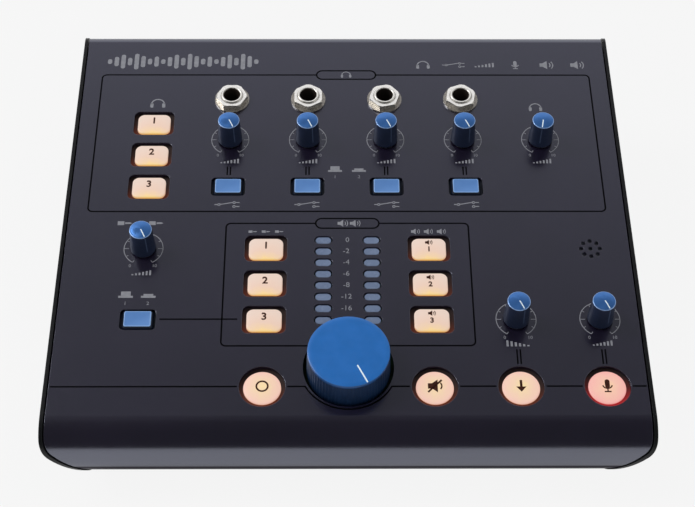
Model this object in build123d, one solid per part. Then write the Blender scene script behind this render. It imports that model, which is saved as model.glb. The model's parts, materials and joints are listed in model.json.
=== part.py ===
from build123d import *
import os
from math import cos, radians, sin

# Desktop monitor controller: a sloping control panel in a wedge-shaped, bull-nosed housing.
# Millimetres and degrees. +Z up, the user sits at -Y. The origin is under the middle of the
# bounding box, on the surface that the feet stand on.

# Housing
width = 215.6             # across the two cheeks, at the panel
panel_length = 177.4      # flat of the panel, from the nose to the rear bend
tilt = 8.0                # slope of the panel, down to the front
sheet = 1.5               # thickness of the bent top sheet
nose_radius = 12.6        # bull nose at the front
rear_bend_radius = 4.5
rear_flange = 6.0         # drop of the sheet behind the rear bend
base_flange = 12.0        # return of the sheet under the nose
base_z = 4.0              # underside of the housing above the table
overrun = 30.0            # how far a large cutting tool reaches past what it cuts
overcut = 1.0             # the same for a hole, slot or recess

# Cheeks: thin end walls that flare out to the panel's width
cheek_wall = 1.3
cheek_gap = 0.5           # between a cheek and the top sheet
cheek_proud = 0.3         # the rim stands above the panel by this
rim_depth = 2.0           # straight rim below the panel
shoulder_radius = 9.0
flare = 48.0              # how far the flank leans in from upright
flank_length = 13.2
draft = 3.0               # lean of the lower wall
cheek_drop = 60.0         # lower wall before the base cuts it
lip_width = 9.0           # inward lip that carries the base plate
seam = 0.2                # gap between housing pieces

# Rear and base
rear_wall = 1.5
rear_lap = 4.5            # rear panel behind the rear flange
base_wall = 1.5
foot_radius = 9.0
foot_taper = 0.8
foot_margin = 41.0        # foot's centre to the edge of the housing
foot_inset = 22.0         # foot centre behind the nose centre and before the rear face
screw_radius = 1.5
screw_hole_radius = 1.6
screw_head_radius = 2.75
screw_head = 1.8
screw_length = 7.0
foot_recess_gap = 0.5     # round the screw's head
screw_seat = 3.0          # depth of the head's recess in a foot
front_screw_margin = 48.0         # screws through the return under the nose
lip_screw_margin = 25.0           # screws through the cheeks' lips
lip_screw_inset = 37.0            # from either end of the lip

# Control layout on the panel: x from the centre line, v up the slope from the nose's start.
# The columns spread with the width, and the cue section keeps to the rear end.
side_margin = 16.0        # outermost column of controls to the edge
pitch = (width / 2 - side_margin) / 3
jack_margin = 31.6        # row of headphone jacks to the rear end of the panel
jack_row = panel_length - jack_margin
knob_drop = 20.8          # cue knobs below the jacks
knob_row = jack_row - knob_drop
key_pitch = 16.0
key_drop = 23.5
cue_key_row = knob_row - key_drop     # lowest row of the cue section, with the source switches
main_key_row = 40.1       # lowest row of the main section, with the aux switch
round_row = 11.8
volume_row = 19.8
aux_knob_row = 72.0
mic_margin = 16.4         # microphone to the edge
mic_row = 71.9
meter_x = 9.05
meter_row = 39.9
meter_pitch = 5.15
meter_count = 8

# Control board, parallel to the panel
board_depth = 11.0        # panel face to the board's top
board_wall = 1.6
board_margin = 10.5       # board's end to the edge of the housing
board_jack_gap = 1.3      # board before the headphone jacks
spacer_radius = 2.75
spacer_inset = 5.5        # spacer's centre to the board's edge
clearance = 0.1           # between a moving piece and what guides it

# Level knobs, their shafts and potentiometers
knob_gap = 0.6            # knob above the panel
knob_top = 12.6
knob_base_radius = 4.75
knob_top_radius = 4.15
knob_chamfer = 0.35
knob_bore_top = 9.5
pointer_angle = 27.0      # pointer to the right of straight down
idle_angle = -10.0        # the cue output's pointer, left of straight down
pointer_width = 0.5
pointer_depth = 0.25
knob_pointer_start = 0.5
shaft_radius = 3.0
shaft_flat = 1.5          # flat of the D shaft, from its axis
shaft_clearance = 0.05
shaft_end = 10.8          # shaft's lower end below the panel
collar_radius = 3.9
collar_top = 0.3          # collar below the panel's face
collar_hole = 4.2
pot_width = 9.5
pot_depth = 11.0
pot_top = 4.5             # top of the potentiometer's body below the panel

# Volume knob
volume_hole = 16.25
volume_top = 11.0
volume_top_radius = 14.65
volume_base_radius = 15.1
volume_base = 2.4         # skirt's lower edge below the panel's face
volume_cap = 1.2          # plain rim above the flutes
flute_count = 72
flute_depth = 0.35
skirt_wall = 1.8
skirt_ceiling = 7.8
hub_radius = 5.0
hub_base = 1.0
volume_bore_top = 7.5
volume_pointer_start = 6.6
volume_pot_size = 16.0
volume_pot_top = 4.0

# Lit keys
key_hole = (16.0, 12.0, 2.4)      # length, width, corner radius
key_cap = (12.85, 9.6, 2.4)
key_rise = 0.7            # crown of a rectangular key above the panel
key_crown_radius = 45.0
round_hole = 8.25
round_radius = 6.9
round_sink = 0.3          # crown of a round key below the panel
round_crown_radius = 40.0
key_lap = 0.7             # flange beyond the hole, under the panel
key_flange = 1.2
key_flange_gap = 0.15
plunger_radius = 1.75
plunger_end = 8.2
key_switch_size = 6.0
key_switch_top = 7.3
key_switch_bore = 2.2
key_switch_floor = 9.5

# Latching push switches
latch_hole = (13.2, 8.8, 1.6)
latch_cap = (11.6, 8.4, 1.2)
latch_taper = 17.0
latch_rise = 2.0
latch_lap = 0.7
latch_stem_end = 6.6
latch_switch_size = 8.5
latch_switch_top = 5.4
latch_switch_floor = 9.0

# Headphone jacks
jack_bore = 3.2
bushing_radius = 4.4
bushing_rise = 3.5
jack_body = 13.0
jack_depth = 27.0         # bore below the panel
jack_floor = 1.5
panel_jack_hole = 4.6
washer_radius = 6.9
washer_wall = 0.6
nut_flats = 11.0
nut_height = 2.2
nut_bore = 4.45
nut_chamfer = 0.5
nut_turns = (0.0, 30.0, 12.0, 21.0)

# Meter lenses and microphone
lens_slot = (6.9, 3.5)
lens_size = (5.8, 2.9)
lens_sink = 0.35
mic_hole = 0.85
mic_ring = 3.5
mic_ring_count = 8
capsule_radius = 4.85
capsule_gap = 0.3
capsule_height = 2.4
holder_radius = 5.2

# Rear connectors: x from the centre line, two rows on a flat board
jack_board_gap = 3.0      # board above the base plate
jack_board_margin = 24.0  # that board's end to the edge of the housing
jack_board_length = 33.0
low_spacer_inset = (14.0, 5.0)    # from the ends and from either edge of that board
end_gap = 15.8            # outermost connectors beyond the last column under the panel
rear_columns = (-2 * pitch, -pitch, 0.0, pitch, 2 * pitch, 2 * pitch + end_gap)
upper_row_drop = 7.45      # upper row of connectors below the rear flange
rear_jack_length = 27.0
nose_reach = 5.0          # bushing beyond the rear panel's inner face
phono_places = ((-1.5 * pitch, 0), (-1.5 * pitch, 1), (-0.5 * pitch, 1))
phono_radius = 4.15
phono_reach = 9.0
phono_bore = 1.7
phono_body = 10.0
phono_ring = 5.5
phono_ring_wall = 1.0
power_x = -2 * pitch - end_gap
inlet_body = (10.0, 13.0, 11.0)
inlet_bezel = (11.0, 1.0, 12.0)
inlet_bore = 2.9
inlet_pin = 1.05
inlet_pin_sink = 1.0      # tip of the pin behind the inlet's face
inlet_depth = 9.0
rocker_bezel = (18.0, 1.6, 13.0)
rocker_opening = (13.0, 8.5)
switch_body = (16.0, 15.0, 11.0)
rocker_radius = 6.3
rocker_gap = 0.25
rocker_centre = 1.5       # rocker's axis behind the bezel's face
rocker_angle = 7.0        # tip of the rocker at rest
rocker_crest = 1.2        # middle of the rocker's face beyond its axis
rocker_horn = 2.2         # ends of the rocker's face beyond its axis
rocker_back = 2.6
rocker_pin_radius = 1.0
rocker_pin_reach = 0.7

# Worked out from the above
nose_z = base_z + nose_radius
rear_bend_y = -rear_bend_radius
nose_y = rear_bend_y - (panel_length * cos(radians(tilt))
                        - (nose_radius - rear_bend_radius) * sin(radians(tilt)))
rear_bend_z = (nose_z + panel_length * sin(radians(tilt))
               + (nose_radius - rear_bend_radius) * cos(radians(tilt)))
housing_front = nose_y - nose_radius - cheek_proud
inner_face = -sheet - rear_wall
housing_rear = phono_reach - sheet
centring = Pos(0, -(housing_front + housing_rear) / 2, 0)
panel = Plane(
    origin=(
        0,
        nose_y - nose_radius * sin(radians(tilt)),
        nose_z + nose_radius * cos(radians(tilt)),
    ),
    x_dir=(1, 0, 0),
    z_dir=(0, -sin(radians(tilt)), cos(radians(tilt))),
)
plate_z = base_z + sheet
floor_z = plate_z + base_wall
jack_board_z = floor_z + jack_board_gap
board_top_z = jack_board_z + board_wall
row_z = (board_top_z + jack_body / 2, rear_bend_z - rear_flange - upper_row_drop)
lip_front = nose_y + base_flange + seam
lip_rear = inner_face
foot_x = width / 2 - foot_margin
front_screw_x = width / 2 - front_screw_margin
lip_screw_x = width / 2 - lip_screw_margin
mic_x = width / 2 - mic_margin
board_half_width = width / 2 - board_margin
board_rear = jack_row - jack_body / 2 - board_jack_gap
jack_board_half_width = width / 2 - jack_board_margin
pieces = {}


def place(x, v, turn=0.0):
    """Where a control stands on the panel, with +Z out of the panel."""
    return panel.location * Pos(x, v, 0) * Rot(0, 0, turn)


def rod(radius, low, high):
    """Upright cylinder between two heights."""
    return Pos(0, 0, (low + high) / 2) * Cylinder(radius, high - low)


def block(length, depth, low, high):
    """Upright box between two heights."""
    return Pos(0, 0, (low + high) / 2) * Box(length, depth, high - low)


def pad(size, low, high):
    """Upright prism on a rounded rectangle of length, width and corner radius."""
    return extrude(Pos(0, 0, low) * RectangleRounded(*size), amount=high - low)


def grown(size, by):
    """A rounded rectangle's size, larger by a margin all round."""
    return (size[0] + 2 * by, size[1] + 2 * by, size[2] + by)


def turned(*points):
    """Solid of revolution about Z from a closed profile of radius and height."""
    return revolve(Plane.XZ * make_face(Polyline(*points, close=True)), Axis.Z)


def group(pieces_of_one_kind):
    """Separate solids that share one node."""
    return Compound([solid for piece in pieces_of_one_kind for solid in piece.solids()])


def shell_line(inset):
    """Side view of the sheet from the rear flange round to the base flange, set in by inset."""
    flange = Line((-inset, rear_bend_z - rear_flange), (-inset, rear_bend_z))
    bend = JernArc(flange @ 1, flange % 1, rear_bend_radius - inset, 90 + tilt)
    top = PolarLine(bend @ 1, panel_length, direction=bend % 1)
    nose = JernArc(top @ 1, top % 1, nose_radius - inset, 180 - tilt)
    lip = PolarLine(nose @ 1, base_flange, direction=nose % 1)
    return [flange, bend, top, nose, lip]


def side_solid(inset):
    """Everything inside the housing's side view, set in by inset, across the full width."""
    line = shell_line(inset)
    heel = (-inset, (line[-1] @ 1).Y)
    face = make_face(line + [Line(line[-1] @ 1, heel), Line(heel, line[0] @ 0)])
    return extrude(Plane.YZ * face, amount=width, both=True)


def cheek_line(inset, side):
    """Front view of one cheek from above the rim down past the base, set in by inset."""
    edge = width / 2 - inset
    rim = Line((side * edge, overrun), (side * edge, -rim_depth))
    shoulder = JernArc(rim @ 1, rim % 1, shoulder_radius - inset, -side * flare)
    flank = PolarLine(shoulder @ 1, flank_length, direction=shoulder % 1)
    toe = JernArc(flank @ 1, flank % 1, shoulder_radius + inset, side * (flare - draft))
    wall = PolarLine(toe @ 1, cheek_drop, direction=toe % 1)
    return [rim, shoulder, flank, toe, wall]


def hull(inset):
    """Everything between the cheeks' outer faces, set in by inset, along the whole panel."""
    right = cheek_line(inset, 1)
    left = cheek_line(inset, -1)
    closing = [Line(left[0] @ 0, right[0] @ 0), Line(left[-1] @ 1, right[-1] @ 1)]
    section = Plane(
        origin=panel.from_local_coords((0, panel_length + overrun, 0)),
        x_dir=(1, 0, 0),
        z_dir=-panel.y_dir,
    )
    return extrude(section * make_face(right + left + closing), amount=panel_length + 2 * overrun)


def drill(points, radius):
    """Upright holes through the base at each x and y."""
    return [Pos(x, y, 0) * rod(radius, 0, floor_z + clearance) for x, y in points]


# Places
jack_columns = [(i - 1.5) * pitch for i in range(4)]
level_knobs = {f"cue_level_{i + 1}": (x, knob_row) for i, x in enumerate(jack_columns)}
level_knobs["cue_output"] = (2.5 * pitch, knob_row)
level_knobs["aux_level"] = (-2.5 * pitch, aux_knob_row)
level_knobs["dim_level"] = (2 * pitch, main_key_row)
level_knobs["talk_level"] = (3 * pitch, main_key_row)
flat_keys = {}
for i in range(3):
    flat_keys[f"cue_source_key_{i + 1}"] = (-2.5 * pitch, cue_key_row + (2 - i) * key_pitch)
    flat_keys[f"main_source_key_{i + 1}"] = (-pitch, main_key_row + (2 - i) * key_pitch)
    flat_keys[f"speaker_key_{i + 1}"] = (pitch, main_key_row + (2 - i) * key_pitch)
round_keys = {
    "mono_key": (-pitch, round_row),
    "mute_key": (pitch, round_row),
    "dim_key": (2 * pitch, round_row),
    "talk_key": (3 * pitch, round_row),
}
latches = {f"cue_source_switch_{i + 1}": (x, cue_key_row) for i, x in enumerate(jack_columns)}
latches["aux_source_switch"] = (-2.5 * pitch, main_key_row)
lens_places = [
    (side * meter_x, meter_row + i * meter_pitch) for side in (-1, 1) for i in range(meter_count)
]
side_spacers = (
    (board_half_width - spacer_inset, board_rear - spacer_inset),
    (board_half_width - spacer_inset, (mic_row + main_key_row) / 2),
    (2.5 * pitch, spacer_inset),
)
spacer_places = [(side * x, v) for side in (-1, 1) for x, v in side_spacers]
foot_places = [(side * foot_x, y) for side in (-1, 1) for y in (nose_y + foot_inset, -foot_inset)]
screw_places = [(side * front_screw_x, nose_y + base_flange / 2) for side in (-1, 1)]
screw_places += [
    (side * lip_screw_x, y)
    for side in (-1, 1)
    for y in (lip_front + lip_screw_inset, lip_rear - lip_screw_inset)
]


def make_housing():
    """Top sheet with its cut-outs, two cheeks, rear panel and base plate."""
    line = shell_line(0)
    inner = shell_line(sheet)
    ends = [Line(line[0] @ 0, inner[0] @ 0), Line(line[-1] @ 1, inner[-1] @ 1)]
    strip = extrude(Plane.YZ * make_face(line + inner + ends), amount=width, both=True)
    low, high = -sheet - overcut, overcut
    holes = [place(*level_knobs[name]) * rod(collar_hole, low, high) for name in level_knobs]
    holes += [place(0, volume_row) * rod(volume_hole, low, high)]
    holes += [place(*at) * pad(key_hole, low, high) for at in flat_keys.values()]
    holes += [place(*at) * rod(round_hole, low, high) for at in round_keys.values()]
    holes += [place(*at) * pad(latch_hole, low, high) for at in latches.values()]
    holes += [place(x, jack_row) * rod(panel_jack_hole, low, high) for x in jack_columns]
    slot = extrude(Pos(0, 0, low) * SlotOverall(*lens_slot), amount=high - low)
    holes += [place(*at) * slot for at in lens_places]
    holes += [place(mic_x, mic_row) * rod(mic_hole, low, high)]
    ring = PolarLocations(mic_ring, mic_ring_count)
    holes += [place(mic_x, mic_row) * at * rod(mic_hole, low, high) for at in ring]
    holes += drill(screw_places, screw_hole_radius)
    pieces["top_shell"] = (strip & hull(cheek_wall + cheek_gap)) - holes

    side_view = side_solid(-cheek_proud) & Pos(0, 0, base_z) * Box(
        2 * width, 3 * width, width, align=(Align.CENTER, Align.CENTER, Align.MIN)
    )
    inside = hull(cheek_wall)
    walls = (hull(0) - inside) & side_view
    for name, side in (("left_cheek", -1), ("right_cheek", 1)):
        half = Pos(side * width, 0, width / 2) * Box(2 * width, 3 * width, 3 * width)
        lip = Pos(side * width / 2, (lip_front + lip_rear) / 2, base_z + sheet / 2) * Box(
            2 * (width / 2 - lip_screw_x + lip_width / 2), lip_rear - lip_front, sheet
        )
        pieces[name] = (walls & half) + (lip & inside) - drill(screw_places, screw_hole_radius)

    snug = hull(cheek_wall + seam)
    top = rear_bend_z - rear_flange + rear_lap
    middle = (base_z + top) / 2
    plate = Pos(0, -sheet - rear_wall / 2, middle) * Box(2 * width, rear_wall, top - base_z)
    jack_hole = rod(bushing_radius + clearance, -overcut, rear_wall + overcut)
    phono_hole = rod(phono_radius + clearance, -overcut, rear_wall + overcut)
    openings = [rear(x, z) * jack_hole for x in rear_columns for z in row_z]
    openings += [rear(x, row_z[row]) * phono_hole for x, row in phono_places]
    openings += [rear(power_x, row_z[0]) * Box(inlet_body[0], inlet_body[2], 2 * rear_lap)]
    openings += [rear(power_x, row_z[1]) * Box(switch_body[0], switch_body[2], 2 * rear_lap)]
    pieces["rear_panel"] = (plate & snug) - openings

    plate_front = nose_y + seam
    plate = Pos(0, (plate_front + inner_face) / 2, (plate_z + floor_z) / 2) * Box(
        2 * width, inner_face - plate_front, base_wall
    )
    pieces["base_plate"] = (plate & snug) - drill(screw_places + foot_places, screw_hole_radius)


def rear(x, z):
    """Where a connector passes the rear panel: origin on its inner face, +Z out of the rear."""
    return Pos(x, inner_face, z) * Rot(-90, 0, 0)


def make_feet():
    """Four rubber feet and the screws under the base."""
    recess = screw_head_radius + foot_recess_gap
    foot = turned(
        (screw_hole_radius, screw_seat),
        (recess, screw_seat),
        (recess, 0),
        (foot_radius - foot_taper, 0),
        (foot_radius, foot_taper),
        (foot_radius, plate_z),
        (screw_hole_radius, plate_z),
    )
    screw = rod(screw_head_radius, -screw_head, 0) + rod(screw_radius, 0, screw_length - screw_head)
    screws = [Pos(x, y, screw_seat) * screw for x, y in foot_places]
    screws += [Pos(x, y, base_z) * screw for x, y in screw_places]
    pieces["feet"] = group(Pos(x, y, 0) * foot for x, y in foot_places)
    pieces["base_screws"] = group(screws)


def d_shaft(radius, low, high, collar):
    """Round shaft whose part above the collar has a flat."""
    flat = Pos(0, shaft_flat + radius, 0) * block(4 * radius, 2 * radius, collar, high + overcut)
    return rod(radius, low, high) - flat


def pot_body(length, depth, top):
    """Potentiometer on the control board, with a collar that guides its shaft."""
    body = block(length, depth, -board_depth, -top) + rod(collar_radius, -top, -collar_top)
    return body - rod(shaft_radius + shaft_clearance, -board_depth + clearance, 0)


def make_level_knobs():
    """Level knobs on their D shafts."""
    knob = turned(
        (0, knob_gap),
        (knob_base_radius - knob_chamfer, knob_gap),
        (knob_base_radius, knob_gap + knob_chamfer),
        (knob_top_radius, knob_top - knob_chamfer),
        (knob_top_radius - knob_chamfer, knob_top),
        (0, knob_top),
    )
    reach = knob_base_radius - knob_pointer_start
    pointer = Pos(0, -knob_pointer_start - reach / 2, 0) * block(
        pointer_width, reach, knob_top - pointer_depth, knob_top + overcut
    )
    knob -= [d_shaft(shaft_radius, knob_gap - overcut, knob_bore_top, 0), pointer]
    shaft = d_shaft(shaft_radius, -shaft_end, knob_bore_top, 0)
    for name, (x, v) in level_knobs.items():
        turn = idle_angle if name == "cue_output" else pointer_angle
        pieces[f"{name}_knob"] = place(x, v, turn) * knob
        pieces[f"{name}_shaft"] = place(x, v, turn) * shaft


def fluted_disc(radius, height):
    """Outline of the fluted skirt at one height."""
    ridges = [radius if i % 2 else radius - flute_depth for i in range(2 * flute_count)]
    steps = [180 * i / flute_count for i in range(2 * flute_count)]
    points = [(r * cos(radians(a)), r * sin(radians(a))) for r, a in zip(ridges, steps)]
    return Pos(0, 0, height) * make_face(Polyline(*points, close=True))


def make_volume():
    """Volume knob: fluted, tapering skirt under a plain cap, with a hub on the shaft."""
    rim = volume_top - volume_cap
    knob = loft([fluted_disc(volume_base_radius, -volume_base), fluted_disc(volume_top_radius, rim)])
    knob += turned(
        (0, rim),
        (volume_top_radius, rim),
        (volume_top_radius, volume_top - knob_chamfer),
        (volume_top_radius - knob_chamfer, volume_top),
        (0, volume_top),
    )
    cavity = rod(volume_top_radius - skirt_wall, -volume_base - overcut, skirt_ceiling)
    cavity -= rod(hub_radius, hub_base, skirt_ceiling)
    reach = volume_top_radius - volume_pointer_start + overcut
    pointer = Pos(0, -volume_pointer_start - reach / 2, 0) * block(
        pointer_width, reach, volume_top - pointer_depth, volume_top + overcut
    )
    knob -= [cavity, d_shaft(shaft_radius, hub_base - overcut, volume_bore_top, 0), pointer]
    at = place(0, volume_row, pointer_angle)
    pieces["volume_knob"] = at * knob
    pieces["volume_shaft"] = at * d_shaft(shaft_radius, -shaft_end, volume_bore_top, 0)


def key_stem(flange_top):
    """Flange's underside and the plunger that enters the key's switch."""
    return rod(plunger_radius, -plunger_end, flange_top - key_flange)


def crown(top, radius):
    """Ball whose side, clear of its poles, domes a key's cap up to a height."""
    return Pos(0, 0, top - radius) * Rot(90, 0, 0) * Sphere(radius)


def make_keys():
    """Lit keys, held under the panel by their flanges and guided by their switches."""
    flange_top = -sheet - key_flange_gap
    flange_base = flange_top - key_flange
    cap = pad(key_cap, flange_top, key_rise) & crown(key_rise, key_crown_radius)
    flat_key = cap + pad(grown(key_hole, key_lap), flange_base, flange_top) + key_stem(flange_top)
    for name, at in flat_keys.items():
        pieces[name] = place(*at) * flat_key

    cap = rod(round_radius, flange_top, 0) & crown(-round_sink, round_crown_radius)
    round_key = cap + rod(round_hole + key_lap, flange_base, flange_top) + key_stem(flange_top)
    for name, at in round_keys.items():
        pieces[name] = place(*at) * round_key

    switch = block(key_switch_size, key_switch_size, -board_depth, -key_switch_top)
    switch -= rod(plunger_radius + clearance, -key_switch_floor, 0)
    places = list(flat_keys.values()) + list(round_keys.values())
    pieces["key_switches"] = group(place(*at) * switch for at in places)


def make_latches():
    """Latching push switches with tapered caps."""
    flange_top = -sheet - key_flange_gap
    flange_base = flange_top - key_flange
    cap = pad(latch_cap, flange_top, 0)
    cap += extrude(RectangleRounded(*latch_cap), amount=latch_rise, taper=latch_taper)
    cap += pad(grown(latch_hole, latch_lap), flange_base, flange_top)
    cap += rod(plunger_radius, -latch_stem_end, flange_base)
    for name, at in latches.items():
        pieces[name] = place(*at) * cap
    switch = block(latch_switch_size, latch_switch_size, -board_depth, -latch_switch_top)
    switch -= rod(plunger_radius + clearance, -latch_switch_floor, 0)
    pieces["latch_switches"] = group(place(*at) * switch for at in latches.values())


def make_board():
    """Control board, the spacers that hang it from the panel, and the potentiometers on it."""
    board = Pos(0, board_rear / 2, 0) * block(
        2 * board_half_width, board_rear, -board_depth - board_wall, -board_depth
    )
    pieces["control_board"] = panel.location * board
    spacers = [place(*at) * rod(spacer_radius, -board_depth, -sheet) for at in spacer_places]
    low_spacer = rod(spacer_radius, floor_z, jack_board_z)
    inset_x, inset_y = low_spacer_inset
    for side in (-1, 1):
        for y in (inner_face - inset_y, inner_face - jack_board_length + inset_y):
            spacers.append(Pos(side * (jack_board_half_width - inset_x), y, 0) * low_spacer)
    pieces["board_standoffs"] = group(spacers)
    level_pot = pot_body(pot_width, pot_depth, pot_top)
    pots = [place(*at) * level_pot for at in level_knobs.values()]
    pots.append(place(0, volume_row) * pot_body(volume_pot_size, volume_pot_size, volume_pot_top))
    pieces["potentiometers"] = group(pots)


def hex_nut():
    """Nut with its outer corners turned down."""
    nut = extrude(RegularPolygon(nut_flats / 2, 6, major_radius=False), amount=nut_height)
    corner = nut_flats / 2 / cos(radians(30))
    nut &= turned(
        (0, 0),
        (corner, 0),
        (corner, nut_height - nut_chamfer),
        (corner - nut_chamfer, nut_height),
        (0, nut_height),
    )
    return nut - rod(nut_bore, -overcut, nut_height + overcut)


def make_headphone_jacks():
    """Four jacks hung from the panel by a nut over a washer."""
    jack = block(jack_body, jack_body, -jack_depth - jack_floor, -sheet)
    jack += rod(bushing_radius, -sheet, bushing_rise)
    jack -= rod(jack_bore, -jack_depth, bushing_rise + overcut)
    washer = rod(washer_radius, 0, washer_wall)
    washer -= rod(panel_jack_hole, -overcut, washer_wall + overcut)
    nut = Pos(0, 0, washer_wall) * hex_nut()
    pieces["headphone_jacks"] = group(place(x, jack_row) * jack for x in jack_columns)
    pieces["headphone_washers"] = group(place(x, jack_row) * washer for x in jack_columns)
    pieces["headphone_nuts"] = group(
        place(x, jack_row, turn) * nut for x, turn in zip(jack_columns, nut_turns)
    )


def make_meter_and_microphone():
    """Light pipes that stand on the board in the meter's slots, and the capsule in its holder."""
    pipe = extrude(Pos(0, 0, -board_depth) * SlotOverall(*lens_size), amount=board_depth - lens_sink)
    pieces["meter_lenses"] = group(place(*at) * pipe for at in lens_places)
    capsule_top = -sheet - capsule_gap
    microphone = rod(holder_radius, -board_depth, capsule_top - capsule_height)
    microphone += rod(capsule_radius, capsule_top - capsule_height, capsule_top)
    pieces["talkback_mic"] = place(mic_x, mic_row) * microphone


def make_rear_connectors():
    """Stacked jacks and phono sockets on a flat board behind the rear panel."""
    board_y = inner_face - seam - jack_board_length / 2
    pieces["jack_board"] = Pos(0, board_y, jack_board_z + board_wall / 2) * Box(
        2 * jack_board_half_width, jack_board_length, board_wall
    )
    stack = jack_body + row_z[1] - row_z[0]
    stacks = []
    nuts = []
    for x in rear_columns:
        middle = (row_z[0] + row_z[1]) / 2
        body = rear(x, middle) * block(jack_body, stack, -rear_jack_length, 0)
        for z in row_z:
            body += rear(x, z) * rod(bushing_radius, 0, nose_reach)
            body -= rear(x, z) * rod(jack_bore, jack_floor - rear_jack_length, nose_reach + overcut)
            nuts.append(rear(x, z) * Pos(0, 0, rear_wall) * hex_nut())
        stacks.append(body)
    pieces["rear_jacks"] = group(stacks)
    pieces["rear_jack_nuts"] = group(nuts)

    face = rear_wall + phono_reach
    phono = block(phono_body, jack_body, -phono_body, 0) + rod(phono_radius, 0, face)
    phono += rod(phono_ring, rear_wall, rear_wall + phono_ring_wall)
    phono -= rod(phono_bore, rear_wall, face + overcut)
    pieces["rca_sockets"] = group(rear(x, row_z[k]) * phono for x, k in phono_places)


def make_power():
    """Low-voltage inlet and the rocker switch above it."""
    length, depth, height = inlet_body
    inlet = block(length - 2 * clearance, height - 2 * clearance, -depth, rear_wall)
    bezel_x, bezel_wall, bezel_z = inlet_bezel
    inlet += block(bezel_x, bezel_z, rear_wall, rear_wall + bezel_wall)
    face = rear_wall + bezel_wall
    inlet -= rod(inlet_bore, face - inlet_depth, face + overcut)
    inlet += rod(inlet_pin, face - inlet_depth, face - inlet_pin_sink)
    pieces["dc_inlet"] = rear(power_x, row_z[0]) * inlet

    length, depth, height = switch_body
    bezel_x, bezel_wall, bezel_z = rocker_bezel
    face = rear_wall + bezel_wall
    axis_height = face - rocker_centre
    open_x, open_z = rocker_opening
    body = block(length - 2 * clearance, height - 2 * clearance, -depth, rear_wall)
    body += block(bezel_x, bezel_z, rear_wall, face)
    body -= block(open_x, open_z, axis_height - rocker_radius - rocker_gap, face + overcut)
    hinge = Pos(0, 0, axis_height) * Rot(90, 0, 0)
    pin_half = open_z / 2 + rocker_pin_reach
    body -= hinge * rod(rocker_pin_radius + shaft_clearance, -pin_half - clearance, pin_half + clearance)
    pieces["power_switch_body"] = rear(power_x, row_z[1]) * body

    outline = Polyline(
        (-rocker_radius, rocker_horn),
        (0, rocker_crest),
        (rocker_radius, rocker_horn),
        (rocker_radius, -rocker_back),
        (-rocker_radius, -rocker_back),
        close=True,
    )
    thickness = open_z - 2 * rocker_gap
    rocker = extrude(make_face(outline) & Circle(rocker_radius), amount=thickness / 2, both=True)
    rocker += rod(rocker_pin_radius, -pin_half, pin_half)
    pieces["power_rocker"] = rear(power_x, row_z[1]) * hinge * Rot(0, 0, rocker_angle) * rocker


make_housing()
make_feet()
make_board()
make_level_knobs()
make_volume()
make_keys()
make_latches()
make_headphone_jacks()
make_meter_and_microphone()
make_rear_connectors()
make_power()

os.makedirs("parts", exist_ok=True)
for name, piece in pieces.items():
    export_step(centring * piece, f"parts/{name}.step")
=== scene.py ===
import bpy
import bmesh
import json
from math import cos, pi, radians, sin, tau
from mathutils import Matrix, Vector


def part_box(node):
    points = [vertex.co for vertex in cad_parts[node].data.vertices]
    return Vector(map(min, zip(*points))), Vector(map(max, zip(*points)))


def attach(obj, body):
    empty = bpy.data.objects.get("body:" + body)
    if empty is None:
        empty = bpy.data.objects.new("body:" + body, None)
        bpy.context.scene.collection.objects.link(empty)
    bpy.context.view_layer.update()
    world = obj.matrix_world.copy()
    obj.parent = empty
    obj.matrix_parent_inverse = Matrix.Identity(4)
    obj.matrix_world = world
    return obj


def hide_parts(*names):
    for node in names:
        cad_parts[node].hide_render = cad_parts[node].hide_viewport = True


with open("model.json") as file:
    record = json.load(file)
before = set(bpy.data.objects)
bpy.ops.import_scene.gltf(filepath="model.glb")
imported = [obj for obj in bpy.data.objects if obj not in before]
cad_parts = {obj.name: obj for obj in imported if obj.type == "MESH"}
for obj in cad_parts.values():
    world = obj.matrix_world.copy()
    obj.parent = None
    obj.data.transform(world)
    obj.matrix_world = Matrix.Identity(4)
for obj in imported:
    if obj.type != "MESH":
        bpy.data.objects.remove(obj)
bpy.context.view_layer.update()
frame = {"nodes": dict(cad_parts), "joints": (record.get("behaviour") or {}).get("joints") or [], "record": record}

# Looks of a desktop monitor controller. The frame is in metres, a Form in millimetres.
MM = 0.001
RIGHT = Vector((1, 0, 0))
nodes = frame["nodes"]
joints = {joint["name"]: joint for joint in frame["joints"]}
mounts = {mount["name"]: mount for mount in frame["record"]["mounts"]}


# -------- places

def seat(origin, normal):
    """Frame at a point, with its Z along normal and its X to the right."""
    up = Vector(normal).normalized()
    axes = Matrix((RIGHT, up.cross(RIGHT), up)).transposed().to_4x4()
    return Matrix.Translation(origin) @ axes


PANEL_UP = Vector(joints["volume_turn"]["axis"])
PANEL = seat(joints["volume_turn"]["pos_m"], PANEL_UP)
REAR = seat((0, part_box("rear_panel")[1][1], 0), mounts["line_1"]["axis"])


def vertices(node, base):
    """Vertices of a CAD node in a frame, in millimetres."""
    inverse = base.inverted()
    return [inverse @ vertex.co / MM for vertex in nodes[node].data.vertices]


def limits(points):
    """Lowest and highest corner of the box round some points."""
    return [Vector([end(point[i] for point in points) for i in range(3)]) for end in (min, max)]


def extent(node, base=PANEL):
    """Lowest and highest corner of a CAD node in a face's frame, in millimetres."""
    return limits(vertices(node, base))


def reach(node, at, low, high):
    """Largest radius about a place's Z of the node's vertices between two heights, in millimetres."""
    return max(point.xy.length for point in vertices(node, at) if low <= point.z <= high)


def spot(x, y, base=PANEL):
    """Place on the panel, from the volume knob's axis, or on another face, in millimetres."""
    return base @ Matrix.Translation((x * MM, y * MM, 0))


def local(point, base=PANEL):
    """Point in a face's frame, in millimetres."""
    return base.inverted() @ Vector(point) / MM


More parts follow.
